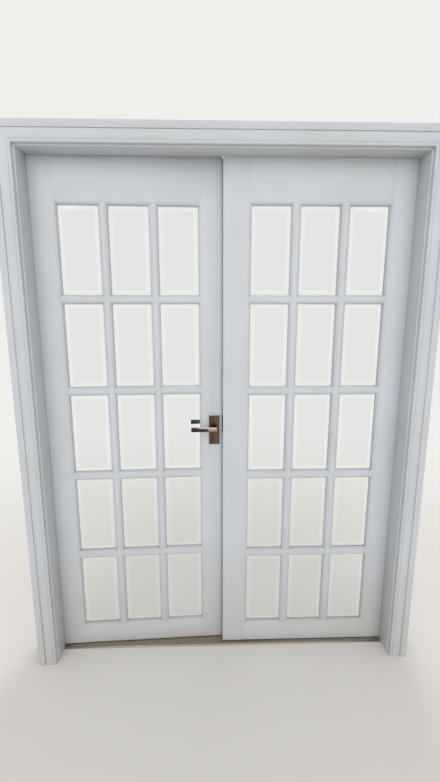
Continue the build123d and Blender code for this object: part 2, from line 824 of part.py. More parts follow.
# Hinges: the frame half and the pins stay with the lining, the other half goes with the leaf
for side in ("left", "right"):
    up = turns[side]
    halves = {
        "frame": (0, -hinge_gap, -1, 0),
        "leaf": (openings[side], 0, 1, 1),
    }
    for half, (opening, plate_face, way, first_knuckle) in halves.items():
        plan = leaf_planes(side, opening)[0]
        flaps = hinge_flaps(side, opening, plate_face, way)
        seats = hinge_screw_seats(side, opening, plate_face, way)
        with BuildPart() as plates:
            add(flaps)
            for bottom in hinge_bottoms:
                for knuckle in range(first_knuckle, hinge_knuckles, 2):
                    knuckle_bottom = bottom + knuckle * (knuckle_height + hinge_knuckle_gap)
                    with BuildSketch(plan.offset(up * knuckle_bottom)):
                        with Locations((plate_face + way * hinge_plate_thickness / 2, leaf_thickness)):
                            Rectangle(
                                hinge_plate_thickness, hinge_pin_setback, align=(Align.CENTER, Align.MIN)
                            )
                        with Locations((pin_across, pin_through)):
                            Circle(hinge_knuckle_radius)
                            Circle(hinge_pin_radius + hinge_pin_clearance, mode=Mode.SUBTRACT)
                    extrude(amount=up * knuckle_height)
            with Locations(*seats):
                add(screw_hole.part, mode=Mode.SUBTRACT)
        plates.part.label = f"{side}_hinge_{half}_plates"
        export_step(plates.part, f"parts/{side}_hinge_{half}_plates.step")
        with BuildPart() as screws:
            with Locations(*seats):
                add(wood_screw.part)
        screws.part.label = f"{side}_hinge_{half}_screws"
        export_step(screws.part, f"parts/{side}_hinge_{half}_screws.step")

    plan = leaf_planes(side, 0)[0]
    with BuildPart() as pins:
        for bottom in hinge_bottoms:
            with BuildSketch(plan.offset(up * bottom)):
                with Locations((pin_across, pin_through)):
                    Circle(hinge_pin_radius)
            extrude(amount=up * hinge_height)
            for head_bottom in (bottom - hinge_pin_head_height, bottom + hinge_height):
                with BuildSketch(plan.offset(up * head_bottom)):
                    with Locations((pin_across, pin_through)):
                        Circle(hinge_pin_head_radius)
                extrude(amount=up * hinge_pin_head_height)
    pins.part.label = f"{side}_hinge_pins"
    export_step(pins.part, f"parts/{side}_hinge_pins.step")

# Mortice latch and lever handles in the left leaf
plan, end, front = leaf_planes("left", rest_opening)
up, inward = turns["left"], -turns["left"]

with BuildPart() as latch_case:
    with BuildSketch(plan.offset(up * case_bottom)):
        with Locations((case_end, case_middle)):
            Rectangle(latch_case_length, latch_case_thickness, align=(Align.MAX, Align.CENTER))
    extrude(amount=up * latch_case_height)
    with BuildSketch(front.offset(inward * case_front)):
        with Locations((spindle_across, spindle_height)):
            Circle(follower_radius + follower_clearance)
        with Locations((spindle_across, backplate_screw_heights[1])):
            Circle(sleeve_radius + screw_clearance)
    extrude(amount=inward * latch_case_thickness, mode=Mode.SUBTRACT)
    channel_start = bolt_tail - bolt_projection - bolt_clearance
    with BuildSketch(end.offset(inward * channel_start)):
        with Locations((bolt_middle, case_middle)):
            Rectangle(bolt_height + 2 * bolt_clearance, bolt_thickness + 2 * bolt_clearance)
    extrude(amount=inward * (case_end - channel_start), mode=Mode.SUBTRACT)
latch_case.part.label = "latch_case"
export_step(latch_case.part, "parts/latch_case.step")

with BuildPart() as latch_forend:
    with BuildSketch(plan.offset(up * case_bottom)):
        with BuildLine():
            forend_outline()
        make_face()
    extrude(amount=up * latch_case_height)
    with BuildSketch(end.offset(inward * case_end)):
        with Locations((bolt_middle, case_middle)):
            Rectangle(bolt_height + 2 * bolt_clearance, bolt_thickness + 2 * bolt_clearance)
    extrude(amount=inward * forend_thickness, mode=Mode.SUBTRACT)
latch_forend.part.label = "latch_forend"
export_step(latch_forend.part, "parts/latch_forend.step")

with BuildPart() as latch_bolt:
    with BuildSketch(plan.offset(up * (bolt_middle - bolt_height / 2))):
        with BuildLine():
            bolt_front = case_middle - bolt_thickness / 2
            bolt_rear = case_middle + bolt_thickness / 2
            bolt_tip = leaf_width + bolt_projection
            Polyline(
                (bolt_tail, bolt_front),
                (bolt_tip - bolt_thickness + bolt_nose, bolt_front),
                (bolt_tip, bolt_rear - bolt_nose),
                (bolt_tip, bolt_rear),
                (bolt_tail, bolt_rear),
                close=True,
            )
        make_face()
    extrude(amount=up * bolt_height)
latch_bolt.part.label = "latch_bolt"
export_step(latch_bolt.part, "parts/latch_bolt.step")

with BuildPart() as latch_follower:
    with BuildSketch(front.offset(inward * case_front)):
        with Locations((spindle_across, spindle_height)):
            Circle(follower_radius)
            Rectangle(spindle_hole, spindle_hole, mode=Mode.SUBTRACT)
    extrude(amount=inward * latch_case_thickness)
latch_follower.part.label = "latch_follower"
export_step(latch_follower.part, "parts/latch_follower.step")

with BuildPart() as spindle:
    with BuildSketch(front.offset(inward * -spindle_depth_in_lever)):
        with Locations((spindle_across, spindle_height)):
            Rectangle(spindle_size, spindle_size)
    extrude(amount=inward * (leaf_thickness + 2 * spindle_depth_in_lever))
spindle.part.label = "spindle"
export_step(spindle.part, "parts/spindle.step")

bar_offset = lever_projection - lever_radius
for face, base, out in (("front", 0, -1), ("rear", leaf_thickness, 1)):
    hole_shank = screw_shank_radius if face == "front" else sleeve_radius
    with BuildPart() as plate_hole:
        with BuildSketch(Plane.XZ):
            with BuildLine():
                fastener_profile(
                    screw_head_radius + screw_clearance, hole_shank + screw_clearance, backplate_thickness
                )
            make_face()
        revolve(axis=Axis.Z)
    plate_face = front.offset(inward * (base + out * backplate_thickness))
    seats = [
        Plane(
            origin=plate_face.from_local_coords((spindle_across, height, 0)),
            x_dir=(0, 0, 1),
            z_dir=front.z_dir * inward * out,
        )
        for height in backplate_screw_heights
    ]
    with BuildPart() as backplate:
        with BuildSketch(front.offset(inward * base)):
            with Locations((spindle_across, backplate_middle)):
                Rectangle(backplate_width, backplate_height)
        extrude(amount=inward * out * backplate_thickness)
        outer_face = backplate.faces().sort_by(Axis.Y)[-1 if out > 0 else 0]
        fillet(outer_face.edges(), radius=backplate_edge_radius)
        with BuildSketch(front.offset(inward * base)):
            with Locations((spindle_across, spindle_height)):
                Circle(lever_neck_radius + lever_neck_clearance)
        extrude(amount=inward * out * backplate_thickness, mode=Mode.SUBTRACT)
        with Locations(*seats):
            add(plate_hole.part, mode=Mode.SUBTRACT)
    backplate.part.label = f"{face}_backplate"
    export_step(backplate.part, f"parts/{face}_backplate.step")

    with BuildPart() as lever:
        with BuildSketch(end.offset(inward * (spindle_across + lever_neck_radius))):
            with Locations((spindle_height, base + out * bar_offset)):
                Circle(lever_radius)
        extrude(amount=-inward * (lever_length + lever_neck_radius))
        fillet(lever.edges().filter_by(GeomType.CIRCLE), radius=lever_end_radius)
        with BuildSketch(front.offset(inward * (base + out * lever_neck_gap))):
            with Locations((spindle_across, spindle_height)):
                Circle(lever_neck_radius)
        extrude(amount=inward * out * (bar_offset - lever_neck_gap))
        with BuildSketch(front.offset(inward * (base + out * lever_neck_gap))):
            with Locations((spindle_across, spindle_height)):
                Rectangle(spindle_hole, spindle_hole)
        extrude(amount=inward * out * spindle_depth_in_lever, mode=Mode.SUBTRACT)
    lever.part.label = f"{face}_lever"
    export_step(lever.part, f"parts/{face}_lever.step")

    # Machine screws enter from the front and bite into sleeve nuts that enter from the back
    with BuildPart() as plate_fastener:
        length = backplate_screw_length if face == "front" else sleeve_length
        with BuildSketch(Plane.XZ):
            with BuildLine():
                fastener_profile(screw_head_radius, hole_shank, length)
            make_face()
        revolve(axis=Axis.Z)
        if face == "rear":
            with BuildSketch(Plane.XY.offset(-length)):
                Circle(screw_shank_radius + sleeve_thread_clearance)
            extrude(amount=length - sleeve_head_depth, mode=Mode.SUBTRACT)
    with BuildPart() as fasteners:
        with Locations(*seats):
            add(plate_fastener.part)
    label = "backplate_screws" if face == "front" else "backplate_sleeve_nuts"
    fasteners.part.label = label
    export_step(fasteners.part, f"parts/{label}.step")

# Strike plate and flush bolts in the right leaf's rebated edge
plan, end = leaf_planes("right", 0)[:2]
up, inward = turns["right"], -turns["right"]

with BuildPart() as strike_plate:
    with BuildSketch(end.offset(inward * (shoulder - strike_thickness))):
        with Locations((case_bottom + latch_case_height / 2, tongue_middle)):
            Rectangle(latch_case_height, strike_width)
        with Locations((bolt_middle, case_middle)):
            Rectangle(
                bolt_height + 2 * strike_clearance, bolt_thickness + 2 * strike_clearance, mode=Mode.SUBTRACT
            )
    extrude(amount=inward * strike_thickness)
strike_plate.part.label = "strike_plate"
export_step(strike_plate.part, "parts/strike_plate.step")

for name, (edge, way, travel) in flush_bolts.items():
    slot_middle, slot_length = slot_span(edge, way, travel, flush_slot_clearance)
    with BuildPart() as flush_plate:
        with BuildSketch(end.offset(inward * (shoulder - flush_plate_thickness))):
            with Locations((edge + way * flush_knob_place, tongue_middle)):
                Rectangle(flush_plate_length, flush_plate_width)
            with Locations((slot_middle, tongue_middle)):
                Rectangle(slot_length, flush_knob_width + 2 * flush_slot_clearance, mode=Mode.SUBTRACT)
        extrude(amount=inward * flush_plate_thickness)
    flush_plate.part.label = f"{name}_flush_bolt_plate"
    export_step(flush_plate.part, f"parts/{name}_flush_bolt_plate.step")

    with BuildPart() as flush_rod:
        with BuildSketch(plan.offset(up * (edge + way * flush_rod_end_gap))):
            with Locations((flush_rod_across, tongue_middle)):
                Circle(flush_rod_radius)
        extrude(amount=up * way * flush_rod_length)
        with BuildSketch(end.offset(inward * flush_rod_across)):
            with Locations((edge + way * flush_knob_place, tongue_middle)):
                Rectangle(flush_knob_height, flush_knob_width)
        extrude(amount=inward * (flush_rod_setback - flush_knob_recess))
    flush_rod.part.label = f"{name}_flush_bolt_rod"
    export_step(flush_rod.part, f"parts/{name}_flush_bolt_rod.step")
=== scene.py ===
import json
import math

import bpy
from mathutils import Matrix, Vector


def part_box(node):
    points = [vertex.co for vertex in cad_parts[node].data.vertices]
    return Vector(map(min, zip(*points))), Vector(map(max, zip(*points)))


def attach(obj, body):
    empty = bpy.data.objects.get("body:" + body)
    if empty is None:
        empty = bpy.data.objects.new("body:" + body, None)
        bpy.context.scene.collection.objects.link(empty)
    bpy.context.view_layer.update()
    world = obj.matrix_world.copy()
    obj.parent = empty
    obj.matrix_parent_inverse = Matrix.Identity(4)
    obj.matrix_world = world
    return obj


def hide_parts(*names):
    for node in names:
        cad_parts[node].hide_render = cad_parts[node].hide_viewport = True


# Pair of glazed internal doors in their lining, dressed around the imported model. Metres, +Z up.
# The left leaf stands ajar at rest, and both leaves swing away from the camera.

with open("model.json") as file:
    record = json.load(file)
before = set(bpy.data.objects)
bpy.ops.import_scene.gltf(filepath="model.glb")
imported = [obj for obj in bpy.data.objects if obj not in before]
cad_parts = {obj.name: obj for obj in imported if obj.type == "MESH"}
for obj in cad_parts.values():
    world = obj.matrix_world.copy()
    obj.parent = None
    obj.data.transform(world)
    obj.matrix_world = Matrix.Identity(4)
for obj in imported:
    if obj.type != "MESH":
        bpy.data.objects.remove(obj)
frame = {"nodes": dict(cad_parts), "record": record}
nodes = frame["nodes"]
bodyOf = {name: body for body, names in frame["record"]["behaviour"]["bodies"].items() for name in names}
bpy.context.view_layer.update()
print("frame loaded:", len(nodes), "nodes")

scene = bpy.context.scene
scene.view_settings.view_transform = "Standard"


def linearColour(hexValue):
    # sRGB hex to the linear colour that a shader takes
    channels = [int(hexValue[i:i + 2], 16) / 255 for i in (1, 3, 5)]
    return tuple(c / 12.92 if c <= 0.04045 else ((c + 0.055) / 1.055) ** 2.4 for c in channels) + (1.0,)


def addNode(tree, kind, settings=None, links=None):
    # one node, with its settings (sockets by name or number, or properties) and what feeds its sockets
    node = tree.nodes.new(kind)
    for name, value in (settings or {}).items():
        if isinstance(name, int) or name in node.inputs:
            node.inputs[name].default_value = value
        else:
            setattr(node, name, value)
    for name, source in (links or {}).items():
        tree.links.new(source, node.inputs[name])
    return node


# A colour mix has several sockets of each name, so these four go by number
mixShare, mixFirst, mixSecond, mixedColour = 0, 6, 7, 2
# What most of a noise texture's values lie between
noiseSpan = (0.3, 0.7)


def newSurface(name):
    material = bpy.data.materials.new(name)
    material.use_nodes = True
    tree = material.node_tree
    tree.nodes.clear()
    coords = addNode(tree, "ShaderNodeTexCoord")
    return material, tree, coords.outputs["Object"]


def closeSurface(tree, settings, links):
    shader = addNode(tree, "ShaderNodeBsdfPrincipled", settings, links)
    addNode(tree, "ShaderNodeOutputMaterial", None, {"Surface": shader.outputs["BSDF"]})


# Leaf frames: across from the hinge edge, through from the front face, height from the floor
leafPlace = {
    "pin": (0.7065, 0.041),    # hinge pin, from the middle line and back from the shut leaf's front face
    "pinAcross": -0.001,       # hinge pin, from the leaf's hinge edge
    "ajar": {"left": 2.6, "right": 0.0},
}


def leafWays(side):
    turn = 1 if side == "left" else -1
    angle = math.radians(leafPlace["ajar"][side])
    across = Vector((turn * math.cos(angle), math.sin(angle), 0))
    through = Vector((-turn * math.sin(angle), math.cos(angle), 0))
    pin = Vector((-turn * leafPlace["pin"][0], leafPlace["pin"][1], 0))
    return across, through, pin


def leafPoint(side, across, through, height):
    acrossWay, throughWay, pin = leafWays(side)
    point = pin + acrossWay * (across - leafPlace["pinAcross"]) + throughWay * (through - pin.y)
    return Vector((point.x, point.y, height))


# Satin water-based paint brushed on timber: an even soft sheen with faint strokes along the grain,
# a little yellowed in patches, darker and warmer towards the floor as painted shade, and darker and
# smoother where hands reach for the lever
leafPaint = {
    "colour": "#CED2D7",
    "agedColour": "#C7C9C9",
    "handledColour": "#BDB9B3",
    # painted shade: the colour the paint darkens to towards the floor
    "lowShadeColour": "#B3ACA4",
    "strokePitch": 0.0035,      # bristle lines are about 1 mm apart, drawn coarser so that they show
    "strokeLength": 0.22,
    "strokeHeight": 0.00025,
    "strokeRelief": 0.35,
    "patchSize": 0.35,
    "patchSpan": (0.35, 0.75),  # noise where a yellowed patch starts, and is full
    "lowShadeHeight": 0.6,
    "lowShadeShare": 0.45,
    "roughness": (0.30, 0.44),
    "ior": 1.5,
}
framePaint = dict(leafPaint, colour="#CBCFD3", agedColour="#C4C6C6", roughness=(0.34, 0.48))
handled = {
    "place": leafPoint("left", across=0.645, through=0.0, height=0.985),
    "reach": 0.16,
    "share": 0.6,               # how much of the handled colour shows in the middle of the reach
    "smudgeSpan": (0.3, 0.6),   # noise where a smudge starts, and is full
    "polish": 0.12,             # how much less rough a smudge is
}


def paintSurface(name, paint, grainAxis, hands=None):
    material, tree, place = newSurface(name)
    scale = [1 / paint["strokePitch"]] * 3
    scale["XYZ".index(grainAxis)] = 1 / paint["strokeLength"]
    strokePlace = addNode(tree, "ShaderNodeMapping", {"Scale": scale}, {"Vector": place})
    strokes = addNode(
        tree, "ShaderNodeTexNoise", {"Scale": 1.0, "Detail": 3.0, "Roughness": 0.55},
        {"Vector": strokePlace.outputs["Vector"]},
    ).outputs["Fac"]
    patches = addNode(
        tree, "ShaderNodeTexNoise", {"Scale": 1 / paint["patchSize"], "Detail": 4.0, "Roughness": 0.6},
        {"Vector": place},
    ).outputs["Fac"]
    height = addNode(tree, "ShaderNodeSeparateXYZ", None, {"Vector": place}).outputs["Z"]
    # painted shade, darker and warmer towards the floor
    lowShade = addNode(
        tree, "ShaderNodeMapRange",
        {"From Min": paint["lowShadeHeight"], "From Max": 0.0, "To Max": paint["lowShadeShare"]}, {"Value": height},
    ).outputs["Result"]
    yellowing = addNode(
        tree, "ShaderNodeMapRange",
        {"From Min": paint["patchSpan"][0], "From Max": paint["patchSpan"][1]}, {"Value": patches},
    ).outputs["Result"]
    colour = addNode(
        tree, "ShaderNodeMix",
        {
            "data_type": "RGBA",
            mixFirst: linearColour(paint["colour"]),
            mixSecond: linearColour(paint["agedColour"]),
        },
        {mixShare: yellowing},
    ).outputs[mixedColour]
    colour = addNode(
        tree, "ShaderNodeMix", {"data_type": "RGBA", mixSecond: linearColour(paint["lowShadeColour"])},
        {mixShare: lowShade, mixFirst: colour},
    ).outputs[mixedColour]
    smooth, rough = paint["roughness"]
    sheen = addNode(
        tree, "ShaderNodeMapRange",
        {"From Min": noiseSpan[0], "From Max": noiseSpan[1], "To Min": smooth, "To Max": rough},
        {"Value": strokes},
    ).outputs["Result"]
    if hands:
        distance = addNode(
            tree, "ShaderNodeVectorMath", {"operation": "DISTANCE", 1: hands["place"]}, {0: place},
        ).outputs["Value"]
        nearness = addNode(
            tree, "ShaderNodeMapRange",
            {"From Min": hands["reach"], "From Max": 0.0, "To Max": hands["share"]}, {"Value": distance},
        ).outputs["Result"]
        smudges = addNode(
            tree, "ShaderNodeMapRange",
            {"From Min": hands["smudgeSpan"][0], "From Max": hands["smudgeSpan"][1]}, {"Value": patches},
        ).outputs["Result"]
        touched = addNode(
            tree, "ShaderNodeMath", {"operation": "MULTIPLY"}, {0: nearness, 1: smudges},
        ).outputs["Value"]
        colour = addNode(
            tree, "ShaderNodeMix", {"data_type": "RGBA", mixSecond: linearColour(paint["handledColour"])},
            {mixShare: touched, mixFirst: colour},
        ).outputs[mixedColour]
        sheen = addNode(
            tree, "ShaderNodeMath", {"operation": "MULTIPLY_ADD", 1: -hands["polish"]},
            {0: touched, 2: sheen},
        ).outputs["Value"]
    relief = addNode(
        tree, "ShaderNodeBump", {"Strength": paint["strokeRelief"], "Distance": paint["strokeHeight"]},
        {"Height": strokes},
    ).outputs["Normal"]
    closeSurface(tree, {"IOR": paint["ior"]}, {"Base Color": colour, "Roughness": sheen, "Normal": relief})
    return material


# Float glass with a ground and polished bevel: clear with a grey cast where it is full thickness, and
# clearer in the thin bevel, which makes the bevel a lighter band as a painted highlight; with faint smears
# that only dull the reflection
bevelledGlass = {
    "colour": "#F2F5F5",
    "bevelHighlightColour": "#FFFFFF",
    "smearSize": 0.09,
    "smearSpan": (0.55, 0.85),   # noise where a smear starts, and is full
    "roughness": (0.0, 0.03),
    "ior": 1.52,
    "bevelTilt": (1.0, 4.0),     # degrees off the flat, where the ground bevel begins and is full
}


def glassSurface(name, glass, side):
    material, tree, place = newSurface(name)
    facing = addNode(tree, "ShaderNodeTexCoord").outputs["Normal"]
    alignment = addNode(
        tree, "ShaderNodeVectorMath", {"operation": "DOT_PRODUCT", 1: leafWays(side)[1]}, {0: facing},
    ).outputs["Value"]
    upright = addNode(tree, "ShaderNodeMath", {"operation": "ABSOLUTE"}, {0: alignment}).outputs["Value"]
    flat, tilted = (math.cos(math.radians(angle)) for angle in glass["bevelTilt"])
    bevel = addNode(
        tree, "ShaderNodeMapRange", {"From Min": flat, "From Max": tilted}, {"Value": upright},
    ).outputs["Result"]
    # the bevel's clearer colour, a painted highlight
    colour = addNode(
        tree, "ShaderNodeMix",
        {
            "data_type": "RGBA",
            mixFirst: linearColour(glass["colour"]),
            mixSecond: linearColour(glass["bevelHighlightColour"]),
        },
        {mixShare: bevel},
    ).outputs[mixedColour]
    smears = addNode(
        tree, "ShaderNodeTexNoise", {"Scale": 1 / glass["smearSize"], "Detail": 5.0}, {"Vector": place},
    ).outputs["Fac"]
    start, full = glass["smearSpan"]
    clear, hazy = glass["roughness"]
    haze = addNode(
        tree, "ShaderNodeMapRange",
        {"From Min": start, "From Max": full, "To Min": clear, "To Max": hazy}, {"Value": smears},
    ).outputs["Result"]
    closeSurface(
        tree, {"IOR": glass["ior"], "Transmission Weight": 1.0}, {"Base Color": colour, "Roughness": haze},
    )
    return material


# What all the metals share
metalFinish = {
    "streakSpan": (0.35, 0.65),    # noise where the paler streaks start, and are full
    "reliefStrength": 0.3,
}
# Metals, each with the pitch and length of its brushing or drawing lines
bronzePlate = {
    # lacquered bronze-brown plate, brushed upright and polished: dark, with straight warm streaks whose
    # strong contrast is partly painted reflection, and a paler painted highlight on the arrises at its
    # sides
    "colour": "#745F4D",
    "shade": "#3A2C23",
    "edgeHighlightColour": "#A98F74",
    "edgeHighlightFacing": (0.35, 0.80),    # sideways part of the normal where the painted highlight starts, and is full
    "roughness": (0.14, 0.28),
    "brushPitch": 0.0030,          # real brushing is finer than 0.2 mm, drawn coarser so that it shows
    "brushLength": 0.9,
    "relief": 0.00002,
}
# Forend and strike: a near-black copy of the plate's finish, as painted shade of the gap between the leaves
shadedForendBronze = dict(bronzePlate, colour="#2C2623", shade="#151211", edgeHighlightColour="#463D37")
bronzeLever = {
    # the same finish on the lever, darker all over as painted shade, with a painted highlight of bright
    # nickel colour along its top and, where it passes over the plate, all round
    "colour": "#5A4F49",
    "shade": "#2F2826",
    "gripHighlightColour": "#BBA68F",
    "topHighlightColour": "#FBF2E6",
    "topHighlightFacing": (0.54, 0.68),           # upward part of the normal where the painted highlight starts, and is full
    "topHighlightUneven": 0.06,                # and how much the brushing moves that, either way
    "topHighlightAlong": (-0.112, -0.090),     # along the bar, metres: its tip has hardly any painted highlight
    "gripHighlightAlong": (-0.069, -0.060),      # and where the painted highlight that goes all round starts, and is full
    "highlightOnBar": (0.004, -0.004),        # back to front, metres: only the bar gets the painted highlight, not its neck
    "roughness": (0.12, 0.24),
    "brushPitch": 0.0022,
    "brushLength": 0.7,
    "relief": 0.00002,
}
# Rear lever: a darker grey copy of the plate's finish, as painted shade
shadedRearLeverBronze = dict(bronzePlate, colour="#625956", shade="#332D2C", edgeHighlightColour="#7A706A")
hingeSteel = {
    # bright zinc-plated pressed steel, a little clouded
    "colour": "#BDBBB5",
    "shade": "#97958F",
    "roughness": (0.26, 0.42),
    "brushPitch": 0.0025,
    "brushLength": 0.03,
    "relief": 0.00003,
}
lockSteel = {
    # satin steel of forend, strike and bolts, gone dull
    "colour": "#8F8A83",
    "shade": "#6B665F",
    "roughness": (0.26, 0.40),
    "brushPitch": 0.0020,
    "brushLength": 0.05,
    "relief": 0.00003,
}
caseSteel = {
    # galvanised steel of the latch body
    "colour": "#8C8D8F",
    "shade": "#74767A",
    "roughness": (0.40, 0.58),
    "brushPitch": 0.0060,
    "brushLength": 0.012,
    "relief": 0.00004,
}
thresholdAluminium = {
    # extruded aluminium strip, warm satin anodising with long draw lines
    "colour": "#BFB4A4",
    "shade": "#978C7B",
    "roughness": (0.26, 0.42),
    "brushPitch": 0.0024,
    "brushLength": 2.5,
    "relief": 0.00003,
}


def metalSurface(name, metal, brushAxis):
    material, tree, place = newSurface(name)
    scale = [1 / metal["brushPitch"]] * 3
    scale["XYZ".index(brushAxis)] = 1 / metal["brushLength"]
    brushPlace = addNode(tree, "ShaderNodeMapping", {"Scale": scale}, {"Vector": place})
    brushing = addNode(
        tree, "ShaderNodeTexNoise", {"Scale": 1.0, "Detail": 3.0, "Roughness": 0.5},
        {"Vector": brushPlace.outputs["Vector"]},
    ).outputs["Fac"]
    start, full = metalFinish["streakSpan"]
    streaks = addNode(
        tree, "ShaderNodeMapRange", {"From Min": start, "From Max": full}, {"Value": brushing},
    ).outputs["Result"]
    colour = addNode(
        tree, "ShaderNodeMix",
        {
            "data_type": "RGBA",
            mixFirst: linearColour(metal["shade"]),
            mixSecond: linearColour(metal["colour"]),
        },
        {mixShare: streaks},
    ).outputs[mixedColour]
    # painted highlight: a paler colour on faces turned sideways, the arrises at the plate's sides
    if "edgeHighlightColour" in metal:
        facing = addNode(tree, "ShaderNodeTexCoord").outputs["Normal"]
        sideways = addNode(
            tree, "ShaderNodeMath", {"operation": "ABSOLUTE"},
            {0: addNode(tree, "ShaderNodeSeparateXYZ", None, {"Vector": facing}).outputs["X"]},
        ).outputs["Value"]
        start, full = metal["edgeHighlightFacing"]
        edgeHighlight = addNode(
            tree, "ShaderNodeMapRange", {"From Min": start, "From Max": full}, {"Value": sideways},
        ).outputs["Result"]
        colour = addNode(
            tree, "ShaderNodeMix", {"data_type": "RGBA", mixSecond: linearColour(metal["edgeHighlightColour"])},
            {mixShare: edgeHighlight, mixFirst: colour},
        ).outputs[mixedColour]
    # painted highlight along the lever's top and, over the plate, all round
    if "topHighlightColour" in metal:
        facing = addNode(tree, "ShaderNodeTexCoord").outputs["Normal"]
        upward = addNode(tree, "ShaderNodeSeparateXYZ", None, {"Vector": facing}).outputs["Z"]
        unevenness = addNode(
            tree, "ShaderNodeMapRange",
            {"From Min": noiseSpan[0], "From Max": noiseSpan[1],
             "To Min": -metal["topHighlightUneven"], "To Max": metal["topHighlightUneven"]},
            {"Value": brushing},
        ).outputs["Result"]
        uneven = addNode(
            tree, "ShaderNodeMath", {"operation": "ADD"}, {0: upward, 1: unevenness},
        ).outputs["Value"]
        spot = addNode(tree, "ShaderNodeSeparateXYZ", None, {"Vector": place})
        masks = []
        for limits, source in (
            ("topHighlightFacing", uneven), ("topHighlightAlong", spot.outputs["X"]),
            ("gripHighlightAlong", spot.outputs["X"]), ("highlightOnBar", spot.outputs["Y"]),
        ):
            start, full = metal[limits]
            masks.append(addNode(
                tree, "ShaderNodeMapRange", {"From Min": start, "From Max": full}, {"Value": source},
            ).outputs["Result"])
        top, along, grip, bar = masks
        strip = addNode(
            tree, "ShaderNodeMath", {"operation": "MULTIPLY"}, {0: top, 1: along},
        ).outputs["Value"]
        for amount, painted_highlight in ((grip, metal["gripHighlightColour"]), (strip, metal["topHighlightColour"])):
            amount = addNode(
                tree, "ShaderNodeMath", {"operation": "MULTIPLY"}, {0: amount, 1: bar},
            ).outputs["Value"]
            colour = addNode(
                tree, "ShaderNodeMix", {"data_type": "RGBA", mixSecond: linearColour(painted_highlight)},
                {mixShare: amount, mixFirst: colour},
            ).outputs[mixedColour]
    smooth, rough = metal["roughness"]
    sheen = addNode(
        tree, "ShaderNodeMapRange",
        {"From Min": noiseSpan[0], "From Max": noiseSpan[1], "To Min": rough, "To Max": smooth},
        {"Value": brushing},
    ).outputs["Result"]
    relief = addNode(
        tree, "ShaderNodeBump", {"Strength": metalFinish["reliefStrength"], "Distance": metal["relief"]},
        {"Height": brushing},
    ).outputs["Normal"]
    closeSurface(tree, {"Metallic": 1.0}, {"Base Color": colour, "Roughness": sheen, "Normal": relief})
    return material


surfaces = {
    "leafUpright": paintSurface("satin_paint_leaf_upright", leafPaint, "Z"),
    "leafAcross": paintSurface("satin_paint_leaf_across", leafPaint, "X"),
    "leafHandled": paintSurface("satin_paint_leaf_handled", leafPaint, "Z", handled),
    "frameUpright": paintSurface("satin_paint_frame_upright", framePaint, "Z"),
    "frameAcross": paintSurface("satin_paint_frame_across", framePaint, "X"),
    "leftGlass": glassSurface("bevelled_float_glass_left", bevelledGlass, "left"),
    "rightGlass": glassSurface("bevelled_float_glass_right", bevelledGlass, "right"),
    "plate": metalSurface("brushed_bronze_plate", bronzePlate, "Z"),
    "forend": metalSurface("bronze_forend_painted_shade", shadedForendBronze, "Z"),
    "lever": metalSurface("bronze_lever_painted_highlight", bronzeLever, "X"),
    "shadedRearLever": metalSurface("bronze_rear_lever_painted_shade", shadedRearLeverBronze, "X"),
    "hinge": metalSurface("zinc_plated_steel", hingeSteel, "Z"),
    "lock": metalSurface("satin_steel", lockSteel, "Z"),
    "case": metalSurface("galvanised_steel", caseSteel, "X"),
    "threshold": metalSurface("anodised_aluminium", thresholdAluminium, "X"),
}
print("materials made:", len(surfaces))


def pickOnly(*pieces):
    if bpy.context.object and bpy.context.object.mode != "OBJECT":
        bpy.ops.object.mode_set(mode="OBJECT")
    bpy.ops.object.select_all(action="DESELECT")
    for piece in pieces:
        piece.select_set(True)
    bpy.context.view_layer.objects.active = pieces[0]


facingShare = 0.9    # how much of a face's normal lies along the way that it counts as facing


def selectFaces(piece, test):
    # leaves edit mode with the faces selected whose centre and normal pass the test
    pickOnly(piece)
    bpy.ops.object.mode_set(mode="EDIT")
    bpy.ops.mesh.select_mode(type="FACE")
    bpy.ops.mesh.select_all(action="DESELECT")
    bpy.ops.object.mode_set(mode="OBJECT")
    for polygon in piece.data.polygons:
        polygon.select = test(polygon.center, polygon.normal)
    bpy.ops.object.mode_set(mode="EDIT")


def wear(piece, material):
    piece.data.materials.clear()
    piece.data.materials.append(material)


def applyModifier(piece, kind, **settings):
    modifier = piece.modifiers.new(kind.title(), kind)
    for name, value in settings.items():
        setattr(modifier, name, value)
    pickOnly(piece)
    bpy.ops.object.modifier_apply(modifier=modifier.name)


def finishPiece(piece, name, material, body, smoothAngle=32):
    # smooth shading, finish and body, with the piece's place put into its mesh
    piece.name = piece.data.name = name
    pickOnly(piece)
    bpy.ops.object.transform_apply(location=True, rotation=True, scale=True)
    bpy.ops.object.shade_smooth_by_angle(angle=math.radians(smoothAngle))
    wear(piece, material)
    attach(piece, body)
    return piece


# Dressed copies of the solids: doubles merged, and arrises eased as sanding or tumbling leaves them
copying = {
    "mergeDistance": 0.000005,
    "flatAngle": 0.2,          # degrees, under which two faces are one
    "sharpAngle": 40,          # degrees, over which an arris is eased
    "sliver": 0.000002,        # length of edge that easing may leave, and that is then closed
}
easing = {
    "timber": {"width": 0.0006, "segments": 2},
    "trim": {"width": 0.0004, "segments": 2},
    "moulding": {"width": 0.0009, "segments": 2},
    "metal": {"width": 0.0003, "segments": 2},
    "plate": {"width": 0.0009, "segments": 3},
    "pressed": {"width": 0.0009, "segments": 3},
}


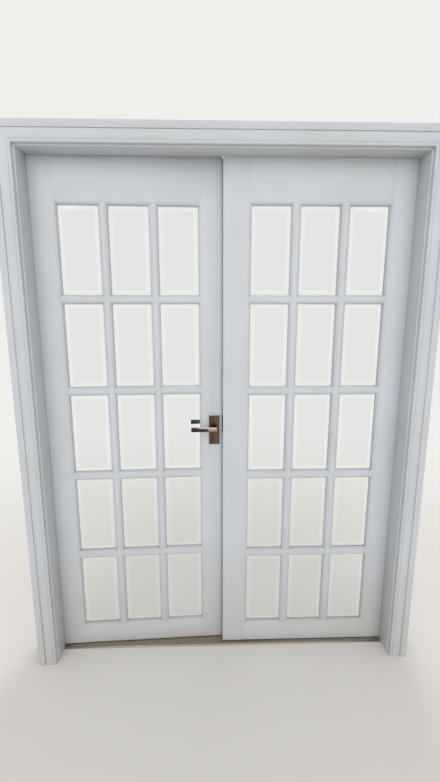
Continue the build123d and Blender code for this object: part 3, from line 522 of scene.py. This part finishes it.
def mergedCopy(nodeName):
    source = nodes[nodeName]
    piece = source.copy()
    piece.data = source.data.copy()
    scene.collection.objects.link(piece)
    piece.parent = None
    for key in [key for key in piece.keys() if key.startswith("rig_")]:
        del piece[key]
    pickOnly(piece)
    bpy.ops.mesh.customdata_custom_splitnormals_clear()
    bpy.ops.object.mode_set(mode="EDIT")
    bpy.ops.mesh.select_all(action="SELECT")
    bpy.ops.mesh.remove_doubles(threshold=copying["mergeDistance"])
    bpy.ops.mesh.dissolve_limited(angle_limit=math.radians(copying["flatAngle"]))
    bpy.ops.object.mode_set(mode="OBJECT")
    return piece


def ease(piece, kind):
    applyModifier(
        piece, "BEVEL", limit_method="ANGLE", angle_limit=math.radians(copying["sharpAngle"]),
        use_clamp_overlap=True, **easing[kind],
    )
    bpy.ops.object.mode_set(mode="EDIT")
    bpy.ops.mesh.select_all(action="SELECT")
    bpy.ops.mesh.dissolve_degenerate(threshold=copying["sliver"])
    bpy.ops.mesh.remove_doubles(threshold=copying["sliver"])
    bpy.ops.object.mode_set(mode="OBJECT")


def dress(nodeName, suffix, material, kind, shape=None):
    # a node's merged copy, eased, shaped further where it has more detail, and put in the node's place
    piece = mergedCopy(nodeName)
    if kind:
        ease(piece, kind)
    if shape:
        shape(piece)
    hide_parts(nodeName)
    return finishPiece(piece, f"{nodeName}_{suffix}", material, bodyOf[nodeName])


leafMembers = {
    "hinge_stile": "leafUpright",
    "meeting_stile": "leafUpright",
    "top_rail": "leafAcross",
    "bottom_rail": "leafAcross",
    "upright_bars": "leafUpright",
    "cross_bars": "leafAcross",
}
for side in ("left", "right"):
    for member, surface in leafMembers.items():
        if (side, member) == ("left", "meeting_stile"):
            surface = "leafHandled"
        dress(f"{side}_{member}", "painted", surfaces[surface], "timber")
    dress(f"{side}_glazing_beads", "painted", surfaces["leafAcross"], "trim")
    wear(nodes[f"{side}_panes"], surfaces[f"{side}Glass"])
print("leaves painted and glazed")

# Architraves: years of paint lie thick in the quirk beside the outer band
quirk = {
    "belowBand": 0.0065,    # the quirk's floor, from the architrave's outermost face
    "paint": 0.0015,
    "within": 0.0002,       # how near that depth a face counts as the floor
}


def fillQuirk(nodeName, piece):
    low, high = (Vector(corner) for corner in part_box(nodeName))
    outward = -1 if nodeName.startswith("front") else 1
    floorPlace = (low.y if outward < 0 else high.y) - outward * quirk["belowBand"]
    selectFaces(
        piece,
        lambda centre, normal: normal.y * outward > facingShare
        and abs(centre.y - floorPlace) < quirk["within"],
    )
    bpy.ops.transform.translate(value=(0, outward * quirk["paint"], 0))
    bpy.ops.object.mode_set(mode="OBJECT")
    ease(piece, "moulding")


liningMembers = {
    "frameUpright": [
        "left_jamb", "right_jamb", "front_architrave_left", "front_architrave_right",
        "rear_architrave_left", "rear_architrave_right",
    ],
    "frameAcross": ["head_jamb", "front_architrave_head", "rear_architrave_head"],
}
for surface, names in liningMembers.items():
    for nodeName in names:
        if "architrave" in nodeName:
            dress(
                nodeName, "painted", surfaces[surface], None,
                lambda piece: fillQuirk(nodeName, piece),
            )
        else:
            dress(nodeName, "painted", surfaces[surface], "timber")
print("lining painted")


# Cross recesses for the driver in every screw head
crossRecess = {
    "arm": 1.15,          # length, with width and depth, in head radii
    "armWidth": 0.26,
    "depth": 0.36,
    "taper": 0.45,        # how much of the arm is left at the bottom
    "within": 0.00005,    # metres: how near a screw's outermost point the rim of its end lies
}


def placeCopies(master, seats):
    # copies of a piece modelled at the origin facing up, one to each seat (place, outward), as one mesh
    copies = []
    for place, outward in seats:
        copy = master.copy()
        copy.data = master.data.copy()
        scene.collection.objects.link(copy)
        turn = outward.to_track_quat("Z", "Y").to_matrix().to_4x4()
        copy.matrix_world = Matrix.Translation(place) @ turn
        copies.append(copy)
    bpy.data.objects.remove(master)
    pickOnly(*copies)
    if len(copies) > 1:
        bpy.ops.object.join()
    joined = bpy.context.object
    bpy.ops.object.transform_apply(location=True, rotation=True, scale=True)
    return joined


def crossCutter(headRadius):
    arms = []
    for turned in (False, True):
        bpy.ops.object.select_all(action="DESELECT")
        bpy.ops.mesh.primitive_cube_add(size=1, location=(0, 0, 0))
        arm = bpy.context.object
        length, width = crossRecess["arm"] * headRadius, crossRecess["armWidth"] * headRadius
        bpy.ops.object.mode_set(mode="EDIT")
        bpy.ops.mesh.select_all(action="SELECT")
        size = (width, length) if turned else (length, width)
        bpy.ops.transform.resize(value=(*size, 2 * crossRecess["depth"] * headRadius))
        selectFaces(arm, lambda centre, normal: normal.z < -facingShare)
        bpy.ops.transform.resize(value=(crossRecess["taper"], crossRecess["taper"], 1))
        bpy.ops.object.mode_set(mode="OBJECT")
        arms.append(arm)
    applyModifier(arms[0], "BOOLEAN", operation="UNION", solver="EXACT", object=arms[1])
    bpy.data.objects.remove(arms[1])
    return arms[0]


def cutCrosses(piece, seats, headRadius):
    cutter = placeCopies(crossCutter(headRadius), seats)
    applyModifier(piece, "BOOLEAN", operation="DIFFERENCE", solver="EXACT", object=cutter)
    bpy.data.objects.remove(cutter)


def headSeats(piece, outward):
    # the middle of each loose part's outermost end
    mesh = piece.data
    parent = list(range(len(mesh.vertices)))

    def root(index):
        while parent[index] != index:
            parent[index] = parent[parent[index]]
            index = parent[index]
        return index

    for edge in mesh.edges:
        first, second = edge.vertices
        parent[root(first)] = root(second)
    parts = {}
    for vertex in mesh.vertices:
        parts.setdefault(root(vertex.index), []).append(vertex.co)
    seats = []
    for points in parts.values():
        end = max(point.dot(outward) for point in points)
        face = [point for point in points if end - point.dot(outward) < crossRecess["within"]]
        low = Vector([min(point[axis] for point in face) for axis in range(3)])
        high = Vector([max(point[axis] for point in face) for axis in range(3)])
        seats.append(((low + high) / 2, outward))
    return sorted(seats, key=lambda seat: tuple(round(value, 4) for value in seat[0]))


screwHeadRadius = 0.004
leftAcross, leftThrough, _ = leafWays("left")
rightAcross = leafWays("right")[0]
cadScrews = {
    "left_hinge_frame_screws": (Vector((1, 0, 0)), "hinge", "hinge_steel"),
    "right_hinge_frame_screws": (Vector((-1, 0, 0)), "hinge", "hinge_steel"),
    "left_hinge_leaf_screws": (-leftAcross, "hinge", "hinge_steel"),
    "right_hinge_leaf_screws": (-rightAcross, "hinge", "hinge_steel"),
    "backplate_screws": (-leftThrough, "plate", "satin_nickel"),
    "backplate_sleeve_nuts": (leftThrough, "plate", "satin_nickel"),
}
for nodeName, (outward, surface, slot) in cadScrews.items():
    dress(
        nodeName, "driven", surfaces[surface], None,
        lambda piece: cutCrosses(piece, headSeats(piece, outward), screwHeadRadius),
    )
print("screws cut")

# Hinges and handles
for side in ("left", "right"):
    for part in ("frame_plates", "leaf_plates", "pins"):
        kind = "pressed" if part == "pins" else "metal"
        dress(f"{side}_hinge_{part}", "plated", surfaces["hinge"], kind)
for nodeName in ("front_backplate", "rear_backplate"):
    dress(nodeName, "brushed", surfaces["plate"], "plate")
dress("front_lever", "painted_highlight", surfaces["lever"], "metal")
dress("rear_lever", "brushed", surfaces["shadedRearLever"], "metal")
for nodeName in ("latch_forend", "strike_plate"):
    dress(nodeName, "brushed", surfaces["forend"], "metal")
boltNodes = (
    "head_keep", "top_flush_bolt_plate", "bottom_flush_bolt_plate", "top_flush_bolt_rod",
    "bottom_flush_bolt_rod", "latch_bolt",
)
for nodeName in boltNodes:
    dress(nodeName, "satin", surfaces["lock"], "metal")
wear(nodes["spindle"], surfaces["lock"])
wear(nodes["latch_case"], surfaces["case"])
wear(nodes["latch_follower"], surfaces["case"])
print("ironmongery dressed")

# Rolled collar round the neck of each lever, cut off just inside the backplate's face
collar = {
    "radius": 0.0100,
    "thickness": 0.0018,
    "inside": 0.0004,
    "segments": (64, 20),
    "spindle": (0.664, 0.984),                          # across the leaf and above the floor
    "plateFaces": {"front": -0.008, "rear": 0.043},     # back from the leaf's front face
}
for face, plateFace in collar["plateFaces"].items():
    bpy.ops.object.select_all(action="DESELECT")
    bpy.ops.mesh.primitive_torus_add(
        major_radius=collar["radius"], minor_radius=collar["thickness"],
        major_segments=collar["segments"][0], minor_segments=collar["segments"][1], location=(0, 0, 0),
    )
    ring = bpy.context.object
    bpy.ops.object.mode_set(mode="EDIT")
    bpy.ops.mesh.select_all(action="SELECT")
    bpy.ops.mesh.bisect(
        plane_co=(0, 0, -collar["inside"]), plane_no=(0, 0, 1), clear_inner=True, use_fill=True,
    )
    bpy.ops.object.mode_set(mode="OBJECT")
    outward = -leftThrough if face == "front" else leftThrough
    across, height = collar["spindle"]
    ring = placeCopies(ring, [(leafPoint("left", across, plateFace, height), outward)])
    finishPiece(ring, f"{face}_lever_collar", surfaces["plate"], "left_leaf")

# Small raised-head screws in the forend, strike, bolt plates, keep and threshold
smallScrew = {
    "radius": 0.0026,
    "rim": 0.0003,        # how far the edge of the head stands out of its plate
    "rise": 0.0003,       # what the steps of its dome are measured in
    "dome": ((0.18, 0.632), (0.22, 0.528), (0.28, 0.372)),    # each step's inset, in radii, and rise
    "sunk": 0.0006,
    "sides": 32,
    "smoothAngle": 28,
}


def raisedScrews(name, seats, radius, surface, body):
    bpy.ops.object.select_all(action="DESELECT")
    depth = smallScrew["rim"] + smallScrew["sunk"]
    bpy.ops.mesh.primitive_cylinder_add(
        vertices=smallScrew["sides"], radius=radius, depth=depth,
        location=(0, 0, depth / 2 - smallScrew["sunk"]),
    )
    head = bpy.context.object
    bpy.ops.object.transform_apply(location=True)
    selectFaces(head, lambda centre, normal: normal.z > facingShare)
    for inset, step in smallScrew["dome"]:
        bpy.ops.mesh.inset(thickness=radius * inset, depth=0)
        bpy.ops.transform.translate(value=(0, 0, smallScrew["rise"] * step))
    bpy.ops.object.mode_set(mode="OBJECT")
    cutCrosses(head, [(Vector((0, 0, smallScrew["rim"] + smallScrew["rise"])), Vector((0, 0, 1)))], radius)
    screws = placeCopies(head, seats)
    finishPiece(screws, name, surfaces[surface], body, smoothAngle=smallScrew["smoothAngle"])


# How far in from its plate's ends each small screw sits
screwInset = {
    "latch_forend": 0.0055,
    "strike_plate": 0.0055,
    "top_flush_bolt_plate": 0.009,
    "bottom_flush_bolt_plate": 0.009,
    "head_keep": 0.006,
}
forendFace = {"across": 0.711, "through": 0.026}    # the forend's outer face, in the left leaf


def plateCorners(nodeName, lengthAxis):
    # a plate's low and high corner, and where along its length its two screws sit
    low, high = (Vector(corner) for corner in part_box(nodeName))
    axis, inset = "XYZ".index(lengthAxis), screwInset[nodeName]
    return low, high, (low[axis] + inset, high[axis] - inset)


heights = plateCorners("latch_forend", "Z")[2]
raisedScrews(
    "forend_screws", [(leafPoint("left", height=height, **forendFace), leftAcross) for height in heights],
    smallScrew["radius"], "lock", "left_leaf",
)
rightPlateSeats = []
for nodeName in ("strike_plate", "top_flush_bolt_plate", "bottom_flush_bolt_plate"):
    low, high, heights = plateCorners(nodeName, "Z")
    rightPlateSeats += [(Vector((low.x, (low.y + high.y) / 2, height)), rightAcross) for height in heights]
raisedScrews(
    "right_plate_screws", rightPlateSeats, smallScrew["radius"], "lock", "right_leaf",
)
low, high, places = plateCorners("head_keep", "X")
raisedScrews(
    "keep_screws", [(Vector((x, (low.y + high.y) / 2, low.z)), Vector((0, 0, -1))) for x in places],
    smallScrew["radius"], "lock", "frame",
)

# Ribbed threshold with its fixing screws
threshold = {
    "grooves": (-0.0160, -0.0010, 0.0050, 0.0110, 0.0170, 0.0230, 0.0290),
    "grooveWidth": 0.0014,
    "grooveDepth": 0.0006,
    "within": 0.0001,     # how near the bar's top a face counts as part of it
    "screws": (-0.6, -0.2, 0.2, 0.6),
    "screwLine": -0.008,
    "screwRadius": 0.0036,
}
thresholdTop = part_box("threshold_bar")[1][2]


def grooveThreshold(bar):
    half = threshold["grooveWidth"] / 2
    pickOnly(bar)
    bpy.ops.object.mode_set(mode="EDIT")
    for line in threshold["grooves"]:
        for edge in (line - half, line + half):
            bpy.ops.mesh.select_all(action="SELECT")
            bpy.ops.mesh.bisect(plane_co=(0, edge, 0), plane_no=(0, 1, 0))
    selectFaces(
        bar,
        lambda centre, normal: normal.z > facingShare and centre.z > thresholdTop - threshold["within"]
        and any(abs(centre.y - line) < half for line in threshold["grooves"]),
    )
    bpy.ops.mesh.extrude_region_move(
        TRANSFORM_OT_translate={"value": (0, 0, -threshold["grooveDepth"])},
    )
    bpy.ops.object.mode_set(mode="OBJECT")


dress(
    "threshold_bar", "ribbed", surfaces["threshold"], "metal", grooveThreshold,
)
raisedScrews(
    "threshold_screws",
    [(Vector((x, threshold["screwLine"], thresholdTop)), Vector((0, 0, 1))) for x in threshold["screws"]],
    threshold["screwRadius"], "lock", "frame",
)

# Lining fixings: screw heads sunk in the counterbored holes behind the leaves' hinge edges
liningFixing = {
    "heights": (0.120, 0.620, 1.369, 1.869),
    "setback": 0.016,      # back from the shut leaf's front face
    "face": 0.7075,        # the jamb's face, from the middle line
    "sunk": 0.0025,
    "radius": 0.0026,
}
for side, turn in (("left", 1), ("right", -1)):
    seats = [
        (Vector((-turn * (liningFixing["face"] + liningFixing["sunk"]), liningFixing["setback"], height)),
         Vector((turn, 0, 0)))
        for height in liningFixing["heights"]
    ]
    raisedScrews(f"{side}_lining_fixings", seats, liningFixing["radius"], "hinge", "frame")
print("screws and threshold made")

# Studio: pale floor that fades into the backdrop, and soft light from all round with a lamp high behind
# and two in front
studio = {
    "backdrop": "#F0EFEC",
    "floor": "#EAE5DF",
    "floorRadius": 30,
    "floorRoughness": 0.7,
    "fade": (0.9, 3.4),            # distance from the middle where the floor starts to fade, and is gone
    "frontLight": "#F4F7FB",
    "backLight": "#F5F5F4",
    "colourTurn": (-0.5, 0.5),     # backward part of the direction where one colour ends, and the other
    "softLight": (0.70, 0.78),     # strength from the front, and from behind
    "softTurn": (-0.7, 0.5),       # and where the one turns into the other
    "lowLight": 2.8,               # how much more comes straight from the front, near the horizon
    "lowTurn": (-0.80, -1.0),      # and where that starts, and is full
}


def seenRay(tree):
    # 1 for rays that show the backdrop itself: camera, mirror and glass rays
    path = addNode(tree, "ShaderNodeLightPath")
    first = addNode(
        tree, "ShaderNodeMath", {"operation": "MAXIMUM"},
        {0: path.outputs["Is Camera Ray"], 1: path.outputs["Is Glossy Ray"]},
    ).outputs["Value"]
    return addNode(
        tree, "ShaderNodeMath", {"operation": "MAXIMUM"},
        {0: first, 1: path.outputs["Is Transmission Ray"]},
    ).outputs["Value"]


world = bpy.data.worlds.new("studio")
scene.world = world
world.use_nodes = True
sky = world.node_tree
sky.nodes.clear()
skyWay = addNode(sky, "ShaderNodeTexCoord").outputs["Generated"]
skyDepth = addNode(sky, "ShaderNodeSeparateXYZ", None, {"Vector": skyWay}).outputs["Y"]
skyMasks = []
for turn, low, high in (
    ("colourTurn", 0.0, 1.0), ("softTurn", *studio["softLight"]), ("lowTurn", 0.0, studio["lowLight"]),
):
    start, full = studio[turn]
    skyMasks.append(addNode(
        sky, "ShaderNodeMapRange",
        {"From Min": start, "From Max": full, "To Min": low, "To Max": high}, {"Value": skyDepth},
    ).outputs["Result"])
skyTint, softStrength, lowStrength = skyMasks
skyColour = addNode(
    sky, "ShaderNodeMix",
    {
        "data_type": "RGBA",
        mixFirst: linearColour(studio["frontLight"]),
        mixSecond: linearColour(studio["backLight"]),
    },
    {mixShare: skyTint},
).outputs[mixedColour]
skyStrength = addNode(
    sky, "ShaderNodeMath", {"operation": "ADD"}, {0: softStrength, 1: lowStrength},
).outputs["Value"]
skyLight = addNode(sky, "ShaderNodeBackground", None, {"Color": skyColour, "Strength": skyStrength})
skySeen = addNode(sky, "ShaderNodeBackground", {"Color": linearColour(studio["backdrop"]), "Strength": 1.0})
skyMix = addNode(
    sky, "ShaderNodeMixShader", None,
    {0: seenRay(sky), 1: skyLight.outputs["Background"], 2: skySeen.outputs["Background"]},
)
addNode(sky, "ShaderNodeOutputWorld", None, {"Surface": skyMix.outputs["Shader"]})

bpy.ops.object.select_all(action="DESELECT")
bpy.ops.mesh.primitive_circle_add(
    vertices=96, radius=studio["floorRadius"], fill_type="NGON", location=(0, 0, 0),
)
floor = bpy.context.object
floor.name = "studio_floor"
floorMaterial, floorTree, floorPlace = newSurface("pale_floor")
floorDistance = addNode(
    floorTree, "ShaderNodeVectorMath", {"operation": "LENGTH"}, {0: floorPlace},
).outputs["Value"]
floorFade = addNode(
    floorTree, "ShaderNodeMapRange",
    {"From Min": studio["fade"][0], "From Max": studio["fade"][1], "interpolation_type": "SMOOTHSTEP"},
    {"Value": floorDistance},
).outputs["Result"]
floorPaint = addNode(
    floorTree, "ShaderNodeBsdfPrincipled",
    {"Base Color": linearColour(studio["floor"]), "Roughness": studio["floorRoughness"]},
)
floorGlow = addNode(floorTree, "ShaderNodeEmission", {"Color": linearColour(studio["backdrop"])})
floorSeen = addNode(
    floorTree, "ShaderNodeMath", {"operation": "MULTIPLY"}, {0: floorFade, 1: seenRay(floorTree)},
).outputs["Value"]
floorMix = addNode(
    floorTree, "ShaderNodeMixShader", None,
    {0: floorSeen, 1: floorPaint.outputs["BSDF"], 2: floorGlow.outputs["Emission"]},
)
addNode(floorTree, "ShaderNodeOutputMaterial", None, {"Surface": floorMix.outputs["Shader"]})
wear(floor, floorMaterial)

lamps = {
    "key": {"place": (-2.4, -3.7, 4.1), "size": 2.4, "power": 26, "colour": "#F6FAFF"},
    "fill": {"place": (2.6, -3.2, 3.9), "size": 2.0, "power": 12, "colour": "#FFF6EC"},
    "back": {"place": (0.6, 3.6, 4.4), "size": 2.4, "power": 72, "colour": "#FCFDFF"},
}
lampAim = Vector((0, 0, 1.0))    # the middle of the doors
for name, lamp in lamps.items():
    light = bpy.data.lights.new(f"{name}_softbox", "AREA")
    light.shape = "SQUARE"
    light.size = lamp["size"]
    light.energy = lamp["power"]
    light.color = linearColour(lamp["colour"])[:3]
    holder = bpy.data.objects.new(f"{name}_softbox", light)
    scene.collection.objects.link(holder)
    holder.location = lamp["place"]
    holder.rotation_euler = (lampAim - Vector(lamp["place"])).to_track_quat("-Z", "Y").to_euler()
print("studio lit")

# Camera fitted to the panes, rails and lining in the photograph
photoCamera = {
    "place": (-0.0671, -1.6483, 1.4757),
    "yaw": 1.726,      # degrees to the right of straight on
    "pitch": 11.616,   # degrees down
    "lens": 19.816,    # millimetres, on this long side
    "longSide": 36,
}
camera = bpy.data.cameras.new("photo_camera")
camera.lens = photoCamera["lens"]
camera.sensor_width = photoCamera["longSide"]
cameraHolder = bpy.data.objects.new("photo_camera", camera)
scene.collection.objects.link(cameraHolder)
cameraHolder.location = photoCamera["place"]
cameraHolder.rotation_euler = (
    math.radians(90 - photoCamera["pitch"]), 0, math.radians(-photoCamera["yaw"]),
)
scene.camera = cameraHolder
